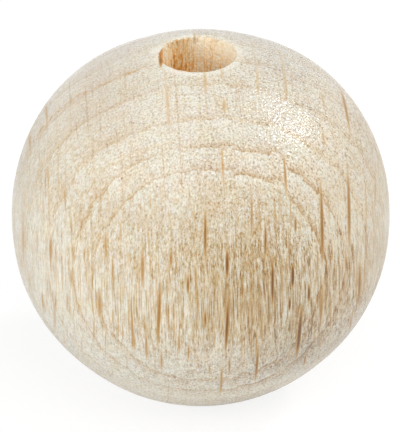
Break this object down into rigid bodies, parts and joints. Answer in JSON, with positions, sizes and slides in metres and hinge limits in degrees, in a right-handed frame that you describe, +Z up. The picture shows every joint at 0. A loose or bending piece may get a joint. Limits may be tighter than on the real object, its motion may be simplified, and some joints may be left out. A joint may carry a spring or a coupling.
{
  "type": "drilled wooden ball",
  "caption": "Plain turned ball of unfinished beech with a bore drilled right through its middle along the grain, for a cord, dowel or rod.",
  "frame": {"origin": "middle of the ball, halfway along the bore", "axes": "+Z up along the bore, towards the mouth with the flatter crown; the front that the picture shows faces -Y and +X is to its right"},
  "size_m": [0.02, 0.02, 0.0194],
  "materials": {
    "beech": "matte"
  },
  "bodies": {
    "root": {"ball": "beech"}
  },
  "joints": []
}
